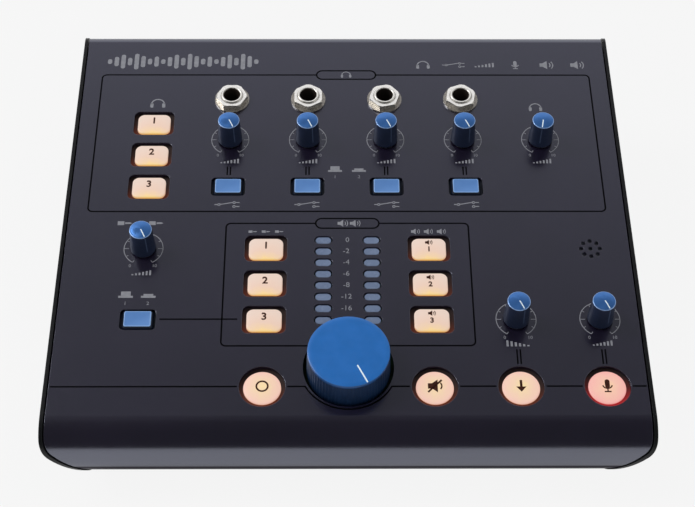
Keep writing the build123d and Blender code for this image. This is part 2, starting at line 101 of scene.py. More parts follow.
def over(node):
    """Place on the panel under the middle of a node."""
    low, high = extent(node)
    return spot((low.x + high.x) / 2, (low.y + high.y) / 2)


def dial(name):
    """Place of a dial on the panel."""
    return seat(joints[f"{name}_turn"]["pos_m"], PANEL_UP)


# -------- meshes

class Form:
    """Vertices, in millimetres, and faces of a mesh in the making."""

    def __init__(self):
        self.points = []
        self.faces = []
        self.looks = []

    def loft(self, loops, looks=0, closed=False):
        """Skin through loops of equally many points, with flat ends unless it closes on itself."""
        count = len(loops[0])
        start = len(self.points)
        for loop in loops:
            self.points += loop
        bands = len(loops) if closed else len(loops) - 1
        looks = [looks] * (bands + 2) if isinstance(looks, int) else looks
        for band in range(bands):
            a = start + band * count
            b = start + (band + 1) % len(loops) * count
            for i in range(count):
                j = (i + 1) % count
                self.faces.append((a + i, a + j, b + j, b + i))
                self.looks.append(looks[band + 1])
        if not closed:
            self.faces.append(tuple(range(start, start + count)))
            self.looks.append(looks[0])
            end = start + bands * count
            self.faces.append(tuple(range(end, end + count)))
            self.looks.append(looks[-1])
        return self

    def lathe(self, profile, looks=0):
        """Skin of revolution through radii and heights."""
        return self.loft([ring(r, z) for r, z in profile], looks)

    def prism(self, outline, low, high, look=0):
        """Upright prism on a flat outline."""
        return self.loft([[(x, y, z) for x, y in outline] for z in (low, high)], look)

    def moved(self, matrix):
        """A copy of the form, moved."""
        copy = Form()
        copy.points = [tuple(matrix @ Vector(point)) for point in self.points]
        copy.faces = list(self.faces)
        copy.looks = list(self.looks)
        return copy

    def add(self, other):
        """Take up another form."""
        start = len(self.points)
        self.points += other.points
        self.faces += [tuple(start + i for i in face) for face in other.faces]
        self.looks += other.looks
        return self

    def mesh(self, name, materials, sharp=35.0):
        """Blender mesh with outward faces, smooth up to an angle."""
        mesh = bpy.data.meshes.new(name)
        mesh.from_pydata([Vector(point) * MM for point in self.points], [], self.faces)
        for material in materials:
            mesh.materials.append(material)
        mesh.polygons.foreach_set("material_index", self.looks)
        build = bmesh.new()
        build.from_mesh(mesh)
        bmesh.ops.recalc_face_normals(build, faces=build.faces)
        build.to_mesh(mesh)
        build.free()
        mesh.shade_smooth()
        mesh.set_sharp_from_angle(angle=radians(sharp))
        return mesh


def ring(radius, z, count=96):
    """Circle of points."""
    return [(radius * cos(tau * i / count), radius * sin(tau * i / count), z) for i in range(count)]


def square(half, z):
    """Square of points, one on each of a circle's rays."""
    rays = [(x, y, max(abs(x), abs(y))) for x, y, _ in ring(1, z)]
    return [(half * x / longest, half * y / longest, z) for x, y, longest in rays]


def arc(x, y, radius, start, end, steps=8):
    """Points of an arc between two angles in degrees."""
    angles = [radians(start + (end - start) * i / steps) for i in range(steps + 1)]
    return [(x + radius * cos(a), y + radius * sin(a)) for a in angles]


def rounded(length, width, corner, steps=8):
    """Outline of a rounded rectangle."""
    x, y = length / 2 - corner, width / 2 - corner
    corners = ((x, y, 0), (-x, y, 90), (-x, -y, 180), (x, -y, 270))
    return [point for cx, cy, a in corners for point in arc(cx, cy, corner, a, a + 90, steps)]


def stadium(length, width, steps=12):
    """Outline of a slot with round ends."""
    x = (length - width) / 2
    return arc(x, 0, width / 2, -90, 90, steps) + arc(-x, 0, width / 2, 90, 270, steps)


def stroke(points, width, closed=False):
    """Outline, or outer and inner outline, of a line of even width."""
    path = [Vector(point) for point in points]
    count = len(path)
    sides = ([], [])
    for i, point in enumerate(path):
        before = path[i - 1] if i or closed else point
        after = path[(i + 1) % count] if i < count - 1 or closed else point
        a = (point - before).normalized() if point != before else (after - point).normalized()
        b = (after - point).normalized() if point != after else a
        normal = Vector((-(a + b).y, (a + b).x)).normalized()
        stretch = width / 2 / max(normal.dot(Vector((-a.y, a.x))), 0.5)
        sides[0].append(tuple(point + normal * stretch))
        sides[1].append(tuple(point - normal * stretch))
    return sides


def line(form, points, width, low, high, closed=False):
    """Add a flat line to a form."""
    left, right = stroke(points, width, closed)
    if closed:
        edges = ((left, low), (left, high), (right, high), (right, low))
        return form.loft([[(x, y, z) for x, y in side] for side, z in edges], closed=True)
    return form.loft([[(*a, low), (*a, high), (*b, high), (*b, low)] for a, b in zip(left, right)])


def show(name, mesh, at, body):
    """Object that rides on a body and takes its finish from its mesh's materials."""
    piece = bpy.data.objects.new(name, mesh)
    bpy.context.scene.collection.objects.link(piece)
    piece.matrix_world = at
    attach(piece, body)
    return piece


def letters(text, size, low, high, bold=0.0):
    """Form of figures of a cap height, centred on the origin."""
    curve = bpy.data.curves.new("figures", "FONT")
    curve.body = text
    curve.size = size
    curve.align_x = "CENTER"
    curve.align_y = "CENTER"
    curve.resolution_u = 3
    curve.offset = bold
    curve.extrude = (high - low) / 2
    writing = bpy.data.objects.new("figures", curve)
    bpy.context.scene.collection.objects.link(writing)
    bpy.context.view_layer.update()
    solid = bpy.data.meshes.new_from_object(writing.evaluated_get(bpy.context.evaluated_depsgraph_get()))
    form = Form()
    form.points = [(v.co.x, v.co.y, v.co.z + (low + high) / 2) for v in solid.vertices]
    form.faces = [tuple(face.vertices) for face in solid.polygons]
    form.looks = [0] * len(form.faces)
    bpy.data.objects.remove(writing)
    bpy.data.curves.remove(curve)
    bpy.data.meshes.remove(solid)
    return form


# -------- materials

def calc(tree, operation, a, b):
    """Value of two sockets or numbers in a material or world."""
    node = tree.nodes.new("ShaderNodeMath")
    node.operation = operation
    for socket, value in zip(node.inputs, (a, b)):
        if isinstance(value, bpy.types.NodeSocket):
            tree.links.new(value, socket)
        else:
            socket.default_value = value
    return node.outputs["Value"]


class Paint:
    """A principled material and the nodes that vary it."""

    def __init__(self, name, **sockets):
        self.material = bpy.data.materials.new(name)
        self.material.use_nodes = True
        self.tree = self.material.node_tree
        self.shader = self.tree.nodes["Principled BSDF"]
        self.coordinates = self.node("ShaderNodeTexCoord").outputs["Object"]
        for socket, value in sockets.items():
            key = socket.replace("_", " ").title().replace("Ior", "IOR")
            self.shader.inputs[key].default_value = (*value, 1) if isinstance(value, tuple) else value

    def node(self, kind, **values):
        """Add a node; a value is a socket to link, or what a socket or property is set to."""
        node = self.tree.nodes.new(kind)
        for key, value in values.items():
            label = key.replace("_", " ").title()
            if isinstance(value, bpy.types.NodeSocket):
                self.tree.links.new(value, node.inputs[label])
            elif label in node.inputs:
                node.inputs[label].default_value = value
            else:
                setattr(node, key, value)
        return node

    def link(self, output, socket):
        """Drive one of the shader's sockets."""
        self.tree.links.new(output, self.shader.inputs[socket])
        return self

    def axes(self):
        """X, Y and Z of the surface in the object's own frame."""
        return self.node("ShaderNodeSeparateXYZ", vector=self.coordinates).outputs

    def off_axis(self, x, y):
        """Distance from the object's Z."""
        flat = self.node("ShaderNodeCombineXYZ", x=x, y=y).outputs["Vector"]
        return self.node("ShaderNodeVectorMath", operation="LENGTH", vector=flat).outputs["Value"]

    def noise(self, size, detail=3.0, vector=None):
        """Noise with grains of about a size in millimetres."""
        return self.node("ShaderNodeTexNoise", vector=vector or self.coordinates, scale=1 / (size * MM),
                         detail=detail).outputs["Fac"]

    def ramp(self, value, *stops):
        """Colour ramp through positions and colours."""
        node = self.node("ShaderNodeValToRGB", fac=value)
        elements = node.color_ramp.elements
        while len(elements) < len(stops):
            elements.new(0.5)
        for element, (position, color) in zip(elements, stops):
            element.position = position
            element.color = (*color, 1)
        return node.outputs["Color"]

    def spread(self, value, start, end, low=0.0, high=1.0):
        """Map a value from the range start to end onto low to high."""
        return self.node("ShaderNodeMapRange", value=value, from_min=start, from_max=end,
                         to_min=low, to_max=high).outputs["Result"]

    def wander(self, size, detail, low, high):
        """Noise that wanders between low and high."""
        return self.spread(self.noise(size, detail), 0.3, 0.7, low, high)

    def grain(self, size, height, roughness=None, edge=0.0):
        """Fine bumps of a size and height in millimetres, uneven gloss and softened edges."""
        bump = self.node("ShaderNodeBump", height=self.noise(size), distance=height * MM)
        if edge:
            soft = self.node("ShaderNodeBevel", radius=edge * MM)
            soft.samples = 4
            self.tree.links.new(soft.outputs["Normal"], bump.inputs["Normal"])
        self.link(bump.outputs["Normal"], "Normal")
        if roughness:
            self.link(self.wander(size * 6, 2.0, *roughness), "Roughness")
        return self

    def mottle(self, size, dark, light):
        """Colour that wanders between two colours."""
        return self.ramp(self.noise(size, 2.0), (0.35, dark), (0.65, light))

    def tint(self, size, dark, light):
        """Base colour that wanders between two colours."""
        return self.link(self.mottle(size, dark, light), "Base Color")


LIP_SHADE_AHEAD = 95 * MM                         # only sheet this far ahead of the origin loses its sheen, as painted shade along the lower lip
LIP_SHADE_LOW, LIP_SHADE_HIGH = 13.4 * MM, 14.3 * MM    # heights between which the sheen sets in there, above the painted shade


def satin_paint(name):
    """Satin paint of the sheet metal: near black, with a clear bluish sheen that is taken away along the lower lip
    as painted shade.
    """
    paint = Paint(name, ior=2.45, specular_tint=(0.81, 0.845, 1.0))
    paint.grain(0.3, 0.0006, roughness=(0.19, 0.22), edge=0.25)
    _, y, z = paint.axes()
    # Painted shade: near the front the sheen falls to almost nothing on the lower lip, so the lip reads dark.
    height = calc(paint.tree, "MAXIMUM", z, calc(paint.tree, "ADD", y, LIP_SHADE_AHEAD))
    sheen = paint.spread(height, LIP_SHADE_LOW, LIP_SHADE_HIGH, 0.008, 0.5)
    paint.link(sheen, "Specular IOR Level")
    return paint.tint(25, (0.0060, 0.0036, 0.0120), (0.0075, 0.0045, 0.0145)).material


def black_paint(name):
    """Satin black of the cheeks and the base."""
    paint = Paint(name, ior=1.4)
    paint.grain(0.3, 0.003, roughness=(0.3, 0.36), edge=0.3)
    return paint.tint(20, (0.004, 0.0045, 0.0055), (0.0055, 0.006, 0.007)).material


def print_ink(name, dark, light, roughness, ior=1.5):
    """Screen print, slightly uneven."""
    paint = Paint(name, roughness=roughness, ior=ior)
    paint.grain(0.2, 0.002)
    return paint.tint(1.5, dark, light).material


def plastic(name, dark, light, roughness=(0.35, 0.45), grain=0.3, height=0.004, edge=0.15, ior=1.5):
    """Moulded plastic with a fine skin."""
    paint = Paint(name, ior=ior)
    paint.grain(grain, height, roughness=roughness, edge=edge)
    return paint.tint(6, dark, light).material


def metal(name, dark, light, roughness=(0.18, 0.3), grain=0.25, height=0.002, edge=0.12, metallic=1.0):
    """Plated or bare metal with faint tool marks."""
    paint = Paint(name, metallic=metallic)
    paint.grain(grain, height, roughness=roughness, edge=edge)
    return paint.tint(3, dark, light).material


def plated(name, dark, light, face):
    """Bright plating: faces that look up the panel's axis get a near-white, less metallic colour as a painted
    highlight; flats and threads mirror the dark panel.
    """
    paint = Paint(name)
    paint.grain(0.5, 0.0015, roughness=(0.22, 0.34), edge=0.12)
    normal = paint.node("ShaderNodeNewGeometry").outputs["Normal"]
    upward = paint.node("ShaderNodeVectorMath", operation="DOT_PRODUCT", vector=normal)
    upward.inputs[1].default_value = PANEL.to_3x3().col[2].normalized()
    # Painted highlight: faces that look up the panel's axis take the near-white colour face and less metal.
    painted_highlight_mask = paint.spread(upward.outputs["Value"], 0.9, 0.97)
    mix = paint.node("ShaderNodeMixRGB", fac=painted_highlight_mask, color1=paint.mottle(2.5, dark, light), color2=(*face, 1))
    paint.link(mix.outputs["Color"], "Base Color")
    return paint.link(paint.spread(painted_highlight_mask, 0.0, 1.0, 0.75, 0.3), "Metallic").material


def spun(name, dark, light):
    """Anodised top spun on a lathe: rings of tool marks and a fan-shaped sheen."""
    paint = Paint(name, metallic=0.6, roughness=0.32, anisotropic=0.75)
    x, y, _ = paint.axes()
    radius = paint.node("ShaderNodeCombineXYZ", x=paint.off_axis(x, y))
    rings = paint.noise(0.12, 2.0, radius.outputs["Vector"])
    bump = paint.node("ShaderNodeBump", height=rings, distance=0.0015 * MM)
    paint.link(bump.outputs["Normal"], "Normal")
    tangent = paint.node("ShaderNodeTangent", direction_type="RADIAL", axis="Z")
    paint.link(tangent.outputs["Tangent"], "Tangent")
    return paint.link(paint.ramp(rings, (0.3, dark), (0.7, light)), "Base Color").material


def lit(name, stops, half, round_about=False):
    """Translucent cap lit from inside, its stops set along its depth or outwards from its middle."""
    paint = Paint(name, roughness=0.4, base_color=(0.25, 0.20, 0.18), emission_strength=1.0)
    paint.grain(0.4, 0.003)
    x, y, _ = paint.axes()
    if round_about:
        place = paint.off_axis(x, y)
    else:
        bow = calc(paint.tree, "MULTIPLY", calc(paint.tree, "MULTIPLY", x, x), 0.055 / MM)
        place = calc(paint.tree, "ADD", y, bow)
    uneven = 0.12 * half * MM
    place = calc(paint.tree, "ADD", place, paint.wander(3.0, 1.0, -uneven, uneven))
    span = paint.spread(place, 0.0 if round_about else -half * MM, half * MM)
    return paint.link(paint.ramp(span, *stops), "Emission Color").material


def ember(name, upper, lower):
    """Sides of a lit cap: their own glow, made strongest below the cap as painted light on the edge of its hole,
    and black at the back as painted shade.
    """
    paint = Paint(name, roughness=0.6, base_color=(0.02, 0.008, 0.006), emission_strength=1.0)
    paint.grain(0.4, 0.003)
    _, y, _ = paint.axes()
    depth = paint.spread(y, -6.5 * MM, 6.5 * MM)
    # Painted light and shade: bright at the front of the cap, black towards the back.
    painted_glow = paint.ramp(depth, (0.05, lower), (0.55, upper), (0.9, (0, 0, 0)))
    return paint.link(painted_glow, "Emission Color").material


LOOK = {
    "panel": satin_paint("panel_paint"),
    "rear": satin_paint("rear_paint"),
    "cheek": black_paint("cheek_paint"),
    "base": black_paint("base_paint"),
    "dark_ink": print_ink("dark_ink", (0.0006, 0.0006, 0.0012), (0.001, 0.001, 0.002), 0.7, 1.12),
    "light_ink": print_ink("light_ink", (0.19, 0.195, 0.22), (0.235, 0.24, 0.27), 0.6),
    "white_ink": print_ink("white_ink", (0.6, 0.6, 0.62), (0.7, 0.7, 0.72), 0.5),
    "legend_ink": print_ink("legend_ink", (0.035, 0.010, 0.005), (0.055, 0.016, 0.008), 0.6, 1.2),
    "pointer": print_ink("pointer_ink", (0.74, 0.86, 0.92), (0.80, 0.92, 0.98), 0.4),
    "pointer_side": print_ink("pointer_side", (0.03, 0.05, 0.10), (0.04, 0.06, 0.12), 0.5),
    "rubber": plastic("foot_rubber", (0.012, 0.012, 0.012), (0.02, 0.02, 0.02), (0.6, 0.8), 0.5, 0.02),
    "black": plastic("black_plastic", (0.008, 0.008, 0.009), (0.012, 0.012, 0.013)),
    "gloss": plastic("gloss_plastic", (0.006, 0.006, 0.007), (0.009, 0.009, 0.01), (0.12, 0.2)),
    "bore": plastic("bore_plastic", (0.012, 0.008, 0.006), (0.022, 0.014, 0.01), (0.5, 0.6)),
    "board": plastic("board_laminate", (0.01, 0.05, 0.02), (0.015, 0.07, 0.03), (0.3, 0.4), 1.2, 0.01),
    "washer": metal("washer", (0.50, 0.47, 0.42), (0.60, 0.56, 0.51), (0.22, 0.32), metallic=0.85),
    # The nickel's upward faces carry a painted highlight.
    "nickel": plated("nickel", (0.50, 0.48, 0.44), (0.62, 0.59, 0.54), (1.0, 0.98, 0.95)),
    "steel": metal("plain_steel", (0.42, 0.42, 0.43), (0.5, 0.5, 0.51), (0.25, 0.4)),
    "screw": metal("screw_steel", (0.05, 0.05, 0.055), (0.07, 0.07, 0.075), (0.3, 0.45)),
    "insulator": plastic("phono_insulator", (0.5, 0.1, 0.02), (0.6, 0.13, 0.03), (0.35, 0.45)),
    "knob_top": spun("knob_top", (0.04, 0.15, 0.44), (0.07, 0.21, 0.55)),
    # A lighter blue on the knob's rounded top edge: a painted highlight.
    "knob_rim_painted_highlight": metal("knob_rim_painted_highlight", (0.27, 0.43, 0.74), (0.32, 0.48, 0.80), (0.3, 0.4), metallic=0.6),
    "knob_side": plastic("knob_side", (0.008, 0.014, 0.036), (0.011, 0.018, 0.046), (0.45, 0.55), ior=1.35),
    "volume_top": plastic("volume_top", (0.004, 0.122, 0.42), (0.007, 0.134, 0.46), (0.28, 0.34),
                          0.25, 0.002, ior=1.55),
    "volume_rim": plastic("volume_rim", (0.008, 0.055, 0.18), (0.010, 0.065, 0.21), (0.36, 0.42),
                          0.25, 0.002),
    "volume_side": plastic("volume_side", (0.004, 0.017, 0.052), (0.006, 0.022, 0.066), (0.42, 0.5), ior=1.4),
    "blue_cap": plastic("blue_cap", (0.081, 0.205, 0.49), (0.092, 0.227, 0.525), (0.3, 0.36)),
    # A lighter blue on the switch caps' edge: a painted highlight.
    "blue_rim_painted_highlight": plastic("blue_rim_painted_highlight", (0.22, 0.39, 0.70), (0.24, 0.42, 0.74), (0.3, 0.36)),
    "blue_wall": plastic("blue_wall", (0.0015, 0.006, 0.02), (0.002, 0.008, 0.026), (0.4, 0.5)),
    "lens": plastic("meter_lens", (0.13, 0.175, 0.28), (0.155, 0.205, 0.32), (0.2, 0.3)),
    "flat_cap": lit("lit_cap", ((0.0, (0.72, 0.50, 0.16)), (0.14, (0.66, 0.46, 0.24)),
                                (0.42, (0.60, 0.42, 0.32)), (1.0, (0.57, 0.45, 0.38))), 4.8),
    "flat_edge": lit("lit_edge", ((0.0, (0.74, 0.40, 0.09)), (0.3, (0.60, 0.30, 0.15)),
                                  (1.0, (0.5, 0.38, 0.33))), 4.8),
    "round_cap": lit("lit_round_cap", ((0.0, (0.72, 0.55, 0.22)), (0.45, (0.66, 0.46, 0.28)),
                                       (1.0, (0.68, 0.40, 0.33))), 6.7, True),
    "round_edge": lit("lit_round_edge", ((0.0, (0.5, 0.2, 0.1)), (1.0, (0.5, 0.2, 0.1))), 6.7),
    "talk_cap": lit("lit_talk_cap", ((0.0, (0.72, 0.44, 0.22)), (0.45, (0.68, 0.36, 0.26)),
                                     (1.0, (0.70, 0.28, 0.26))), 6.7, True),
    "talk_edge": lit("lit_talk_edge", ((0.0, (0.6, 0.04, 0.05)), (1.0, (0.4, 0.03, 0.04))), 6.7),
    # The caps' sides glow as painted light towards the front and fade to painted shade at the back.
    "ember": ember("cap_side", (0.012, 0.003, 0.0015), (0.085, 0.012, 0.003)),
    "talk_ember": ember("talk_cap_side", (0.05, 0.002, 0.002), (0.34, 0.009, 0.013)),
}


def dress(node, look):
    """Give a carried-over CAD node its material."""
    materials = nodes[node].data.materials
    materials.clear()
    materials.append(LOOK[look])


# -------- housing

for node, look in {
    "top_shell": "panel", "left_cheek": "cheek", "right_cheek": "cheek", "rear_panel": "rear",
    "base_plate": "base", "feet": "rubber", "base_screws": "screw", "control_board": "board",
    "jack_board": "board", "board_standoffs": "steel", "potentiometers": "steel",
    "key_switches": "black", "latch_switches": "black", "talkback_mic": "steel",
    "rear_jacks": "black", "rear_jack_nuts": "nickel",
    "dc_inlet": "black", "power_switch_body": "black", "power_rocker": "gloss",
    "headphone_washers": "washer", "headphone_nuts": "nickel",
    "meter_lenses": "lens",
}.items():
    dress(node, look)
for node in nodes:
    if node.endswith("_shaft"):
        dress(node, "steel")


# -------- knobs

def dome(face, top, sag):
    """Height of a knob's shallow dome at a radius, with its middle a hair under the top."""
    return lambda r: top - 0.02 - sag * (r / face) ** 2


def pointer_bar(form, inner, outer, width, height, look):
    """Add a thin inlaid line that follows a dome from near the axis towards -Y."""
    half = width / 2
    radii = [inner + (outer - inner) * i / 6 for i in range(7)]
    corners = [(-half, -0.2), (half, -0.2), (half, 0.02), (-half, 0.02)]
    form.loft([[(x, -r, height(r) + z) for x, z in corners] for r in radii], look)


def level_knob():
    """Level knob: dark tapered side with a faint line, a lighter rim that is a painted highlight, spun blue top
    and white pointer.
    """
    name = "aux_level"
    at = dial(name)
    low, high = extent(f"{name}_knob")
    top, foot = high.z, low.z
    wide = reach(f"{name}_knob", at, foot, foot + 1)
    narrow = reach(f"{name}_knob", at, top - 1, top)
    form = Form()
    face, sag, round_off = narrow - 0.3, 0.62, 0.25
    height = dome(face, top, sag)
    edge = [(narrow - round_off * (1 - cos(a)), top - sag - round_off * (1.1 - sin(a)))
            for a in [pi / 2 * i / 4 for i in range(5)]]
    crown = [(face * (1 - i / 10), height(face * (1 - i / 10))) for i in range(10)]
    form.lathe([(wide - 0.35, foot), (wide, foot + 0.35)] + edge + crown, [0, 0, 0, 2, 2, 2, 2] + [1] * 12)
    pointer_bar(form, 0.3, narrow - 0.45, 0.38, height, 3)
    lean = (wide - narrow) / (top - foot)
    line_foot, line_top = foot + 1.2, top - 1.2
    corners = [(-0.2, line_foot), (0.2, line_foot), (0.2, line_top), (-0.2, line_top)]
    loops = [[(x, -(narrow + (top - z) * lean) - depth, z) for x, z in corners] for depth in (-0.3, 0.0)]
    form.loft(loops, 4)
    looks = ("knob_side", "knob_top", "knob_rim_painted_highlight", "pointer", "pointer_side")
    return form.mesh("level_knob", [LOOK[look] for look in looks], 30)


LEVEL_DIALS = [name[:-5] for name in joints if name.endswith("_turn") and name != "volume_turn"]
POINTER_TURN = 27.0     # pointers in the photograph, in degrees from straight down
IDLE_TURN = -10.0       # the cue output's pointer
knob_mesh = level_knob()
for name in LEVEL_DIALS:
    turn = IDLE_TURN if name == "cue_output" else POINTER_TURN
    at = dial(name) @ Matrix.Rotation(radians(turn), 4, "Z")
    knob = show(f"{name}_knob_top", knob_mesh, at, f"{name}_dial")
    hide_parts(f"{name}_knob")


FLUTES = 72
FLUTE_DEPTH = 0.16


def volume_knob():
    """Volume knob: fluted skirt under a plain rim, satin top and white pointer."""
    at = dial("volume")
    low, high = extent("volume_knob")
    top, foot = high.z, low.z
    wide = reach("volume_knob", at, foot, foot + 0.5)
    narrow = reach("volume_knob", at, top - 1, top)
    count = FLUTES * 6
    rim = top - 1.5
    face, sag = narrow - 0.35, 0.2
    height = dome(face, top, sag)

    def skirt(radius, z):
        points = []
        for i in range(count):
            a = tau * i / count
            r = radius - FLUTE_DEPTH * abs(sin(a * FLUTES / 2))
            points.append((r * cos(a), r * sin(a), z))
        return points

    form = Form()
    loops = [ring(wide - 1.4, foot, count), skirt(wide, foot), skirt(narrow, rim)]
    loops += [ring(r, z, count) for r, z in
              [(narrow, rim), (narrow, top - sag - 0.4), (narrow - 0.12, top - sag - 0.14)]
              + [(face * (1 - i / 10), height(face * (1 - i / 10))) for i in range(10)]]
    form.loft(loops, [0, 0, 0, 0, 3, 3] + [1] * 11)
    pointer_bar(form, 6.6, narrow - 0.35, 0.5, height, 2)
    looks = ("volume_side", "volume_top", "pointer", "volume_rim")
    return form.mesh("volume_knob", [LOOK[look] for look in looks], 30)


at = dial("volume") @ Matrix.Rotation(radians(POINTER_TURN), 4, "Z")
knob = show("volume_knob_top", volume_knob(), at, "volume_dial")
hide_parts("volume_knob")


# -------- lit keys and push switches

CAP_EDGE = 0.45                         # rounding of a cap's upper edge
FLANGE_LOW, FLANGE_HIGH = -2.85, -1.65  # collar of a cap, below the panel's face
FLAT_CAP = (12.85, 9.6, 2.4)            # length, width and corner
FLAT_TOP, FLAT_CROWN = 0.15, 45.0       # height of the middle, and radius of the crown
ROUND_CAP = 6.75
ROUND_TOP, ROUND_CROWN = -0.4, 40.0


def domed(outline, middle, rise, crown):
    """Cap on outlines at growing insets: foot with painted glow and shade, glowing edge and crowned, rounded top.
    """
    def crowned(inset, drop):
        return [(x, y, rise - (x * x + y * y) / (2 * crown) - drop) for x, y in outline(inset)]

    steps = 5
    rounds = [(CAP_EDGE * (1 - cos(pi / 2 * i / steps)), CAP_EDGE * (1 - sin(pi / 2 * i / steps)))
              for i in range(steps + 1)]
    rounds += [(CAP_EDGE + (middle - CAP_EDGE) * i / 8, 0.0) for i in range(1, 9)]
    loops = [[(x, y, FLANGE_HIGH) for x, y in outline(0)]]
    loops.append([(x, y, max(FLANGE_HIGH + 0.1, z)) for x, y, z in crowned(0, 1.0)])
    loops += [crowned(inset, drop) for inset, drop in rounds]
    return Form().loft(loops, [1, 1, 2, 2] + [0] * len(loops))


def flat_key():
    """Rectangular key: a crowned cap over its flange."""
    low, high = extent("speaker_key_1")
    length, width, corner = FLAT_CAP

    def outline(inset):
        return rounded(length - 2 * inset, width - 2 * inset, corner * (1 - inset / width * 2))

    form = domed(outline, width / 2 - 0.05, FLAT_TOP, FLAT_CROWN)
    form.prism(rounded(high.x - low.x, high.y - low.y, 3.1), FLANGE_LOW, FLANGE_HIGH, 1)
    return form.mesh("flat_key", [LOOK["flat_cap"], LOOK["ember"], LOOK["flat_edge"]], 40)


def round_key(looks):
    """Round key: a crowned cap over its flange."""
    low, high = extent("mono_key")
    form = domed(lambda inset: [(x, y) for x, y, _ in ring(ROUND_CAP - inset, 0)],
                 ROUND_CAP - 0.1, ROUND_TOP, ROUND_CROWN)
    flange = (high.x - low.x) / 2
    form.lathe([(flange, FLANGE_LOW), (flange, FLANGE_HIGH)], 1)
    return form.mesh(looks[0], [LOOK[look] for look in looks], 40)


flat_mesh = flat_key()
round_mesh = round_key(("round_cap", "ember", "round_edge"))
talk_mesh = round_key(("talk_cap", "talk_ember", "talk_edge"))
FLAT_KEYS = [f"{group}_key_{i}" for group in ("cue_source", "main_source", "speaker") for i in (1, 2, 3)]
ROUND_KEYS = ["mono_key", "mute_key", "dim_key", "talk_key"]
for name in FLAT_KEYS + ROUND_KEYS:
    mesh = flat_mesh if name in FLAT_KEYS else talk_mesh if name == "talk_key" else round_mesh
    cap = show(f"{name}_cap", mesh, over(name), name)
    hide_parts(name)


LATCH_TOP = 0.7                         # height of the switch caps over the panel


def latch_cap():
    """Push switch cap: dark walls, a light edge that is a painted highlight, and blue face."""
    low, high = extent("aux_source_switch")
    form = Form()
    steps = ((11.6, 8.4, 1.2, FLANGE_HIGH), (11.3, 8.0, 1.1, -0.6), (10.3, 7.0, 0.8, LATCH_TOP - 0.4),
             (9.85, 6.6, 0.7, LATCH_TOP - 0.1), (9.6, 6.35, 0.6, LATCH_TOP), (9.25, 6.0, 0.5, LATCH_TOP),
             (9.05, 5.8, 0.45, LATCH_TOP - 0.05))
    form.loft([[(x, y, z) for x, y in rounded(length, width, corner)] for length, width, corner, z in steps],
              [1, 1, 1, 1, 2, 2, 0, 0])
    form.prism(rounded(high.x - low.x, high.y - low.y, 2.3), FLANGE_LOW, FLANGE_HIGH, 1)
    return form.mesh("latch_cap", [LOOK["blue_cap"], LOOK["blue_wall"], LOOK["blue_rim_painted_highlight"]], 40)


latch_mesh = latch_cap()
LATCHES = [f"cue_source_switch_{i}" for i in (1, 2, 3, 4)] + ["aux_source_switch"]
for name in LATCHES:
    cap = show(f"{name}_cap", latch_mesh, over(name), name)
    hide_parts(name)


# -------- connectors

def places(name, count, base=PANEL):
    """Coordinates of a family of mounts."""
    return [local(mounts[f"{name}_{i + 1}"]["pos_m"], base) for i in range(count)]


def headphone_jack(floor, top):
    """Jack: moulded body, threaded nickel bushing and dark bore."""
    radius, pitch = 4.4, 0.75
    shoulder = -1.5
    thread = []
    for i in range(int((top - 0.3 - shoulder) / pitch)):
        z = shoulder + i * pitch
        thread += [(radius - 0.28, z + 0.08), (radius, z + pitch / 2), (radius - 0.28, z + pitch - 0.08)]
    lip = [(radius - 0.05, top - 0.4), (radius - 0.3, top - 0.08), (radius - 0.45, top), (3.7, top),
           (3.5, top - 0.08), (3.35, top - 0.25)]
    bore = [(3.25, top - 0.45), (3.2, top - 0.8), (3.2, -4.0), (2.9, -4.6), (2.9, -12), (3.2, -12.2),
            (3.2, floor + 1.5), (0.4, floor + 1.5)]
    loops = [square(6.5, floor), square(6.5, shoulder)]
    loops += [ring(r, z) for r, z in [(4.1, shoulder)] + thread + lip + bore]
    metal_bands = len(thread) + len(lip)
    looks = [0, 0, 0] + [1] * metal_bands + [2] * (len(bore) - 1) + [2, 2]
    return Form().loft(loops, looks)


jacks = Form()
low, high = extent("headphone_jacks")
for point in places("headphone", 4):
    jacks.add(headphone_jack(low.z, high.z).moved(Matrix.Translation((point.x, point.y, 0))))
mesh = jacks.mesh("headphone_jack_set", [LOOK["black"], LOOK["nickel"], LOOK["bore"]], 30)
jack = show("headphone_jack_set", mesh, PANEL, "housing")
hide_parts("headphone_jacks")


def phono_socket(tip, back):
    """Phono socket: nickel sleeve and ring, coloured insulator and centre contact."""
    loops = [square(5.0, back), square(5.0, -1.5)]
    loops += [ring(r, z) for r, z in (
        (4.15, -1.5), (4.15, 0.0), (5.4, 0.0), (5.5, 0.1), (5.5, 0.9), (5.4, 1.0), (4.35, 1.0), (4.15, 1.2),
        (4.15, tip - 0.3), (4.0, tip), (3.75, tip), (3.6, tip - 0.2), (3.6, tip - 1.2),
        (3.5, tip - 1.2), (2.1, tip - 1.2), (1.95, tip - 1.3),
        (1.8, tip - 1.3), (1.7, tip - 1.4), (1.55, tip - 6.0), (0.2, tip - 6.0))]
    looks = [0, 0, 0] + [1] * 12 + [2] * 3 + [1] * 6
    return Form().loft(loops, looks)


sockets = Form()
low, high = extent("rca_sockets", REAR)
for point in places("phono", 3, REAR):
    sockets.add(phono_socket(high.z, low.z).moved(Matrix.Translation((point.x, point.y, 0))))
mesh = sockets.mesh("phono_socket_set", [LOOK["black"], LOOK["nickel"], LOOK["insulator"]], 30)
socket = show("phono_socket_set", mesh, REAR, "housing")
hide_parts("rca_sockets")

point = local(mounts["power_in"]["pos_m"], REAR)
pin = Form().lathe([(1.08, -6.0), (1.08, -0.3), (0.9, -0.02), (0.2, 0.0)])
mesh = pin.mesh("inlet_pin", [LOOK["nickel"]])
show("inlet_pin", mesh, spot(point.x, point.y, REAR), "housing")


